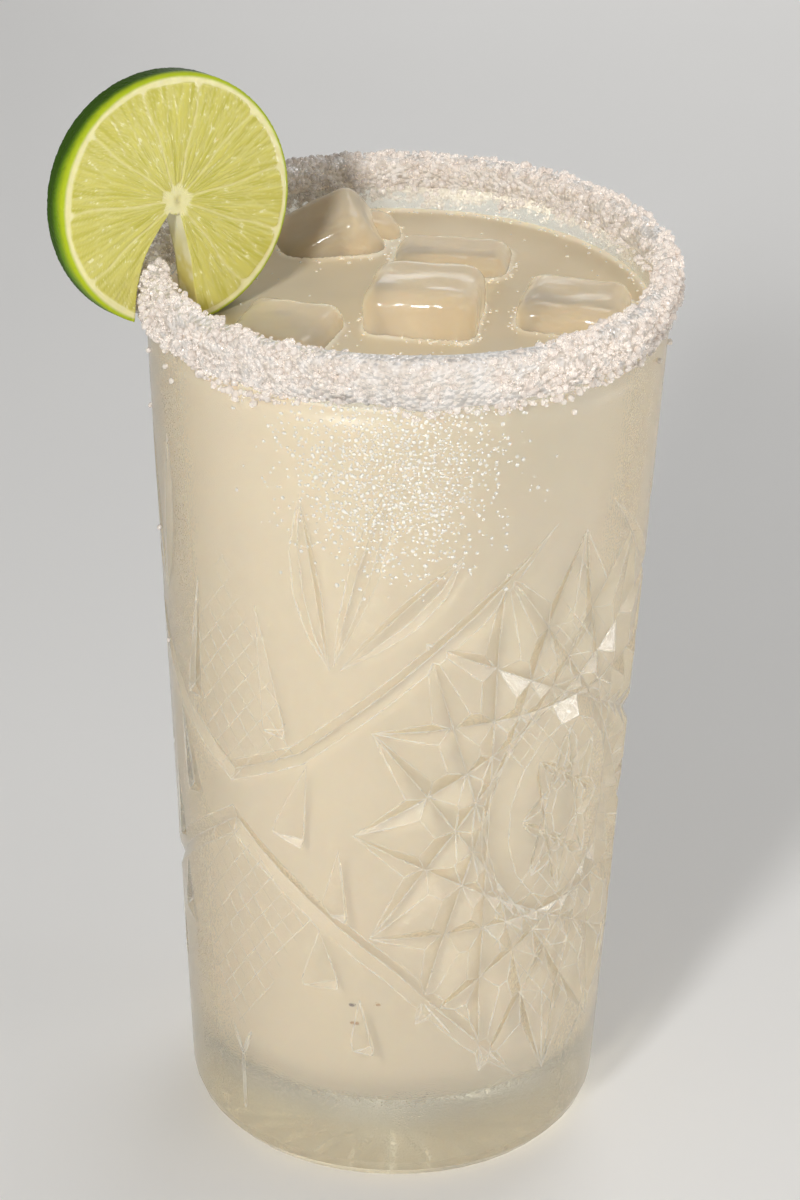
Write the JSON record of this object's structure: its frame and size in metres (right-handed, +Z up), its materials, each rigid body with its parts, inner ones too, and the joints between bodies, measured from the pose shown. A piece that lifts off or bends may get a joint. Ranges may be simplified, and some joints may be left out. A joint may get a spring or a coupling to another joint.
{
  "type": "paloma cocktail in a pressed glass",
  "caption": "Tall tapered glass with a pressed star-and-fan cut pattern, filled with a cloudy pale citrus drink and ice, salt on the rim and a lime wheel slit onto the lip",
  "frame": {"origin": "centre of the foot on the surface that the glass stands on", "axes": "+Z up along the axis of the glass; -Y is the front, the side that the shown view looks at; +X is to the right seen from the front, so the lime wheel is on the -X side"},
  "size_m": [0.0995, 0.0867, 0.1854],
  "materials": {
    "clear_glass": "polished",
    "drink": "polished",
    "ice": "satin",
    "lime": "satin",
    "salt": "matte"
  },
  "bodies": {
    "root": {"glass": "clear_glass", "drink": "drink", "ice_middle": "ice", "ice_right": "ice", "ice_left": "ice", "ice_back": "ice", "ice_peak": "ice", "ice_chip": "ice", "lime_wheel": "lime", "salt_rim": "salt"}
  },
  "joints": []
}
